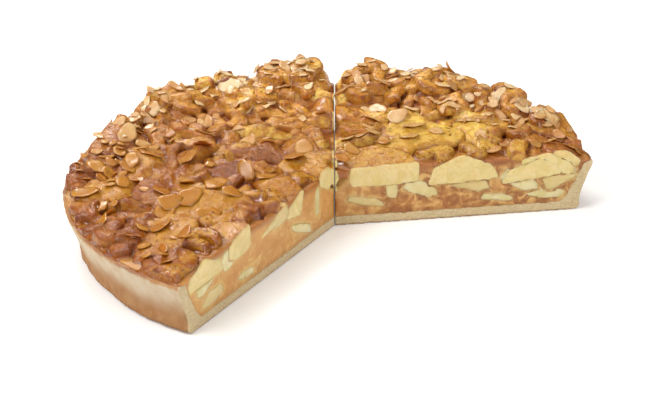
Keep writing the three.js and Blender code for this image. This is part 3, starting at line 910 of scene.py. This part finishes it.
def glaze_look():
    look = Look(
        "set_glaze", Specular_IOR_Level=0.65, Coat_Weight=0.12, Coat_Roughness=0.1,
        Subsurface_Weight=0.3, Subsurface_Scale=0.004, Subsurface_Radius=(1.0, 0.4, 0.1),
    )
    broad = look.noise(18.0, 3.0, 0.55, 0.6, seed=51.0)
    streaks = look.noise(4.0, 4.0, 0.6, 1.0, seed=62.0)
    lumps = look.noise(7.0, 4.0, 0.6, 0.6, seed=66.0)
    grain = look.noise(1.1, 3.0, 0.6, seed=71.0)
    deep, bake, burnt = map(look.mark, ("deep", "bake", "burnt"))
    heat = bake + 0.9 * (broad - 0.5) + 0.5 * (streaks - 0.5)
    light = look.blend(streaks.above(0.35, 0.65), "b4701f", "9c5a14")
    dark = look.blend(streaks.above(0.35, 0.65), "924a18", "6e2c10")
    pulp = lumps.above(0.5, 0.64) * (1.0 - 0.4 * bake.above(0.4, 1.0))
    # Deep between the apple the glaze is darker: partly thicker glaze, partly painted shade in the
    # recesses.
    colour = look.layers(
        light, (heat.above(0.2, 0.85), dark), (0.55 * pulp, "b57d34"),
        (0.8 * deep.above(0.1, 0.7), "7a3410"), (0.8 * burnt.above(0.3, 0.9), "4a140a"),
    )
    # The glaze gets a painted sheen: paler at the back, where light grazes it.
    look.feed("Base Color", look.painted_sheen_across_the_tart(colour))
    look.feed("Roughness", 0.08 + 0.16 * grain)
    look.bump(1.4 * lumps + streaks + 0.25 * grain, 0.7, 0.7)
    return look


glaze_paint = glaze_look()
glaze_skins = {}
for side in knife:
    block = Block(poured.astype(np.float32), cells_low)
    block.cut_through(side, 0.35)
    glaze_skins[side] = (block, block.skin(0.25))
    join(whole, block)

# How shut in each place is, for browned edges and for the glaze that gathers below; the darkening
# where it is shut in is partly painted shade.
crowding = fullness(whole, 7.0)

# Where edges of apple caught and turned dark red: x, y, width, strength.
burnt_spots = [
    (-48, -36, 2.4, 0.9), (-41, -47, 1.8, 0.8), (-34, -57, 2.2, 0.9), (-53, 0, 2.4, 0.8),
    (17, 88, 3.0, 0.6), (-64, 108, 7.0, 0.7), (-88, 92, 6.0, 0.6), (52, 112, 7.0, 0.7),
    (92, 86, 7.0, 0.7), (104, 60, 5.0, 0.6), (-110, 74, 6.0, 0.6), (4, 118, 5.0, 0.7),
    (-22, 62, 3.0, 0.5), (128, 22, 5.0, 0.5), (-118, -8, 5.0, 0.4),
]


def place_marks(points, block):
    """The marks that the materials read: browned edges, gathered glaze with painted shade where it
    is shut in, and oven heat.
    """
    own = fullness(block, 3.0)
    edge = np.clip((0.47 - own.sample(points)) / 0.2, 0, 1)
    # Where it is shut in, the materials darken: partly gathered glaze, partly painted shade.
    shut = np.clip((crowding.sample(points) - 0.5) / 0.28, 0, 1)
    return {
        "ridge": edge, "deep": shut,
        "bake": browning(points), "burnt": spread_of(burnt_spots, *points.T[:2]),
    }


def knife_mark(points, side):
    seen = [ease((beyond(points, cut) + 0.5) / 0.35) for cut in knife[side]]
    return np.maximum(*seen)


for number, node in enumerate(wedge_names, 1):
    block, skin = apple_skins[node]
    marks = place_marks(skin[0], block)
    marks["knifed"] = knife_mark(skin[0], side_of(node))
    marks["tone"] = np.full(len(skin[0]), math.sin(number * 5.3))
    make_piece(f"baked_apple_{number:02d}", skin, apple_paint, [node], marks)
for side in knife:
    block, skin = bit_skins[side]
    marks = place_marks(skin[0], block)
    marks["knifed"] = 0 * marks["ridge"]
    marks["tone"] = bumps(skin[0], 15.0, 7)
    make_piece(f"apple_bits_{side}", skin, apple_paint, [f"custard_{side}"],
               marks, kept=0.65)
    block, skin = glaze_skins[side]
    marks = place_marks(skin[0], block)
    make_piece(f"glaze_{side}", skin, glaze_paint, [], marks, kept=0.35)

# ----------------------------------------
# The almond flakes: thin slices of blanched almond, some of them broken, strewn over the
# apple before baking. They are beige and a little translucent with browned edges, glazed.

FLAKE_LENGTH = 13.0
FLAKE_WIDTH = 8.6
FLAKE_THICKNESS = 0.75
STREWN = 210
THROWS = 9000
STANDING = 12
STANDING_THROWS = 400
STREWN_REACH = 133.5
FLAKE_FROM_CUT = 5.5
random = np.random.default_rng(41)


def flake_mesh(length, width, centre, normal, along, broken, dish, rings=4, steps=18):
    """One flake: a dished oval plate with a point at one end, thinner at its edge."""
    turns = np.arange(steps) / steps * 2 * math.pi
    outline = np.stack([
        length / 2 * np.cos(turns),
        width / 2 * np.sin(turns) * (1 - 0.22 * np.cos(turns)),
    ], axis=1)
    outline *= 1 + 0.06 * random.standard_normal(steps)[:, None]
    for _ in range(broken):
        turn = random.uniform(0, 2 * math.pi)
        side = np.array([math.cos(turn), math.sin(turn)])
        over = outline @ side - random.uniform(0.02, 0.28) * length
        outline -= np.maximum(over, 0)[:, None] * side
    shares = np.linspace(0, 1, rings + 1)[1:]
    flat = np.concatenate([np.zeros((1, 2))] + [outline * s for s in shares])
    rim = np.concatenate([[0.0]] + [np.full(steps, s) for s in shares])
    lift = dish * ((flat[:, 0] / length * 2) ** 2 + 0.6 * (flat[:, 1] / width * 2) ** 2)
    lift = lift + 0.25 * np.sin(flat[:, 0] * 0.8 + random.uniform(0, 6)) * rim
    half = FLAKE_THICKNESS / 2 * np.sqrt(np.clip(1.02 - rim ** 3, 0.02, 1))
    upper = np.column_stack([flat, lift + half])
    lower = np.column_stack([flat, lift - half])
    points = np.concatenate([upper, lower])
    count = len(flat)
    faces = []
    for n in range(steps):
        m = (n + 1) % steps
        faces.append((0, 1 + n, 1 + m))
        faces.append((count, count + 1 + m, count + 1 + n))
        for ring in range(rings - 1):
            a, b = 1 + ring * steps, 1 + (ring + 1) * steps
            faces += [(a + n, b + n, b + m), (a + n, b + m, a + m)]
            a, b = a + count, b + count
            faces += [(a + n, b + m, b + n), (a + n, a + m, b + m)]
        top = 1 + (rings - 1) * steps
        under = top + count
        faces += [(top + n, under + n, under + m), (top + n, under + m, top + m)]
    axes = np.stack([along, np.cross(normal, along), normal])
    return points @ axes + centre, np.array(faces), np.concatenate([rim, rim])


def cad_flakes(node):
    """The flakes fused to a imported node: flat faces that look up and have steep edges."""
    points, triangles = cad_mesh(node)
    points, welded = np.unique(np.round(points, 3), axis=0, return_inverse=True)
    triangles = welded.reshape(-1)[triangles]
    a, b, c = points[triangles].transpose(1, 0, 2)
    normals = np.cross(b - a, c - a)
    normals /= np.maximum(np.linalg.norm(normals, axis=1), 1e-9)[:, None]
    face_of = np.arange(len(triangles))
    across = {}
    edges = []
    for n, corners in enumerate(triangles):
        for edge in zip(corners, np.roll(corners, -1)):
            other = across.setdefault(tuple(sorted(edge)), n)
            if other == n:
                continue
            likeness = normals[n] @ normals[other]
            if likeness > 0.9998:
                face_of[face_of == face_of[n]] = face_of[other]
            else:
                edges.append((n, other, likeness))
    found = []
    for face in np.unique(face_of):
        members = set(np.flatnonzero(face_of == face).tolist())
        normal = normals[list(members)].mean(axis=0)
        if len(members) < 3 or normal[2] < 0.3:
            continue
        round_it = [like for n, other, like in edges if n in members or other in members]
        outline = points[np.unique(triangles[list(members)])]
        centre = (outline.min(axis=0) + outline.max(axis=0)) / 2
        _, _, axes = np.linalg.svd(outline - centre, full_matrices=False)
        length, width = np.ptp((outline - centre) @ axes[:2].T, axis=0)
        steep = np.mean(np.abs(round_it) < 0.12)
        if steep > 0.45 and 6 < length < 17 and 3.5 < width < 12:
            found.append((centre, normal / np.linalg.norm(normal), axes[0], length))
    return found


flake_parts = {"left": [], "right": []}
flake_spots = []
for node in wedge_names + [f"custard_{side}" for side in knife]:
    for centre, normal, along, length in cad_flakes(node):
        along = along - normal * (along @ normal)
        along /= np.linalg.norm(along)
        centre = centre + normal * (0.35 - whole.sample(centre[None])[0])
        flake_parts[side_of(node)].append(
            flake_mesh(length, length * 0.68, centre, normal, along, 0, random.uniform(0.1, 0.7)))
        flake_spots.append(centre)

# The others lie where they fell: more of them towards the rim and at the back, where some
# stand on edge between the wedges and show above them.
landing_points, landing_faces, offset = [], [], 0
landing = [*apple_skins.values(), *bit_skins.values(), *glaze_skins.values()]
landing = [skin for _, skin in landing] + [block.skin(0.3) for block in case_blocks.values()]
for points, triangles, quads in landing:
    landing_points.append(points)
    landing_faces += (triangles + offset).tolist() + (quads + offset).tolist()
    offset += len(points)
ground = BVHTree.FromPolygons(np.concatenate(landing_points).tolist(), landing_faces)
down = Vector((0, 0, -1))


def let_fall(turn, out, size, lean, lift, apart):
    """Drops one flake at a place round the tart, unless it has no ground or room there."""
    spot = spot_at(turn, out)
    hit, facing, _, _ = ground.ray_cast(Vector((spot[0], spot[1], 90)), down)
    if hit is None or hit.z < RIM_HEIGHT - 1.5 or (facing.z < 0.35 and lean < 1):
        return False
    hit = np.array(hit)
    side = portion(hit[0])
    if min(np.linalg.norm(hit - s) for s in flake_spots) < apart:
        return False
    if inside(hit, side) < FLAKE_FROM_CUT:
        return False
    normal = np.array(facing) + np.array([*random.uniform(-lean, lean, 2), 0.25])
    normal /= np.linalg.norm(normal)
    along = np.cross(normal, random.standard_normal(3) if lean < 1 else (-normal[1], normal[0], 0))
    along /= np.linalg.norm(along)
    centre = hit + normal * random.uniform(0.35, 0.9) + np.array([0, 0, lift])
    flake_parts[side].append(flake_mesh(
        FLAKE_LENGTH * size, FLAKE_WIDTH * size * random.uniform(0.85, 1.1), centre, normal, along,
        int(random.integers(0, 3)), random.uniform(-0.3, 0.9)))
    flake_spots.append(hit)
    return True


strewn = 0
for _ in range(THROWS):
    turn = random.uniform(CUT_RIGHT + 0.05, CUT_LEFT - 0.05)
    out = STREWN_REACH * math.sqrt(random.uniform(0.01, 1))
    back = 0.5 + 0.5 * math.sin(turn)
    wanted = 0.05 + 0.35 * ease((out - 85) / 45) + 0.6 * back ** 2 * ease((out - 70) / 55)
    if strewn < STREWN and random.uniform() < wanted:
        apart = 5.0 if out < 95 else 3.6
        strewn += let_fall(turn, out, random.uniform(0.4, 0.8), 0.45, 0.0, apart)
standing = 0
for _ in range(STANDING_THROWS):
    turn = math.radians(random.uniform(35, 150))
    if standing < STANDING:
        out = random.uniform(122, 134)
        size, sunk = random.uniform(0.5, 0.85), random.uniform(-1.0, 0.0)
        standing += let_fall(turn, out, size, 1.3, sunk, 3.2)


def almond_look():
    look = Look(
        "almond_flake", Specular_IOR_Level=0.5, Coat_Weight=0.1, Coat_Roughness=0.15,
        Subsurface_Weight=0.4, Subsurface_Scale=0.002, Subsurface_Radius=(1.0, 0.7, 0.4),
    )
    broad = look.noise(9.0, 3.0, 0.5, seed=81.0)
    grain = look.noise(1.2, 4.0, 0.6, seed=92.0)
    rim, bake, tone = map(look.mark, ("rim", "bake", "tone"))
    glazed = (tone + 0.25 * bake + 0.5 * (broad - 0.5)).above(0.35, 1.2)
    front = look.along((0.2, 1.0, 0)).above(70.0, -40.0)
    toasted = (0.7 * rim + 0.5 * (grain - 0.5) + 0.6 * (broad - 0.5) + 0.3 * bake).above(0.7, 1.15)
    colour = look.layers(
        look.blend(broad.above(0.35, 0.65), "dab47a", "c8985a"), (0.7 * glazed, "b4742e"),
        (0.5 * front, "bc7c30"), (0.75 * toasted, "94561f"),
    )
    # The flakes get a painted sheen too: paler at the back, where light grazes them.
    look.feed("Base Color", look.painted_sheen_across_the_tart(colour, (1.12, 1.25, 1.7)))
    look.feed("Roughness", 0.16 + 0.25 * grain)
    look.bump(grain + broad, 0.5, 0.25)
    return look


almond_paint = almond_look()
for side, parts in flake_parts.items():
    points = np.concatenate([p for p, _, _ in parts])
    starts = np.cumsum([0] + [len(p) for p, _, _ in parts[:-1]])
    faces = np.concatenate([f + start for (_, f, _), start in zip(parts, starts)])
    marks = {
        "rim": np.concatenate([r for _, _, r in parts]),
        "bake": browning(points),
        "tone": np.concatenate([np.full(len(p), random.uniform(0, 1)) for p, _, _ in parts]),
    }
    skin = points, faces, np.empty((0, 4), int)
    make_piece(f"almond_flakes_{side}", skin, almond_paint, [], marks)

# ----------------------------------------
# The table, the light and the camera.

bpy.ops.mesh.primitive_plane_add(size=8)
table = bpy.context.object
table.name = "table"
table_look = Look(
    "white_table", Roughness=0.6, Base_Color=(0.9, 0.9, 0.89, 1.0),
    Emission_Color=(1.0, 1.0, 0.99, 1.0), Emission_Strength=0.16,
)
table.data.materials.append(table_look.material)

world = bpy.data.worlds.new("studio")
bpy.context.scene.world = world
world.use_nodes = True
sky = world.node_tree
heading = sky.nodes.new("ShaderNodeTexCoord")
split = sky.nodes.new("ShaderNodeSeparateXYZ")
sky.links.new(heading.outputs["Generated"], split.inputs[0])
rise = sky.nodes.new("ShaderNodeMapRange")
for end, value in (("From Min", 0.62), ("From Max", 0.97), ("To Min", 0.1), ("To Max", 0.93)):
    rise.inputs[end].default_value = value
sky.links.new(split.outputs["Z"], rise.inputs["Value"])
sky.links.new(rise.outputs["Result"], sky.nodes["Background"].inputs["Strength"])
sky.nodes["Background"].inputs["Color"].default_value = (1.0, 0.965, 0.92, 1.0)


def lamp(name, place, size, power, aim=(0, 0, 0.02)):
    data = bpy.data.lights.new(name, "AREA")
    data.shape = "RECTANGLE"
    data.size, data.size_y = size
    data.energy = power
    made = bpy.data.objects.new(name, data)
    bpy.context.scene.collection.objects.link(made)
    made.location = place
    made.rotation_euler = (Vector(aim) - Vector(place)).to_track_quat("-Z", "Y").to_euler()


lamp("back_softbox", (-0.3, 0.7, 0.85), (0.4, 0.22), 7.0)
lamp("left_softbox", (-0.8, -0.4, 0.9), (0.8, 0.6), 12.0)
lamp("right_fill", (0.9, -0.7, 0.6), (0.8, 0.8), 7.8)

FOCUS = 1528.0
FRAME_WIDTH = 669.0
PITCH_DOWN = 0.44
DISTANCE = 722.0
HEIGHT = 353.0
camera_data = bpy.data.cameras.new("camera")
camera_data.sensor_width = 36.0
camera_data.lens = 36.0 * FOCUS / FRAME_WIDTH
camera = bpy.data.objects.new("camera", camera_data)
bpy.context.scene.collection.objects.link(camera)
camera.location = (middle[0] * MM, (middle[1] - DISTANCE) * MM, HEIGHT * MM)
camera.rotation_euler = (math.pi / 2 - PITCH_DOWN, 0, 0)
bpy.context.scene.camera = camera
bpy.context.scene.view_settings.view_transform = "Standard"
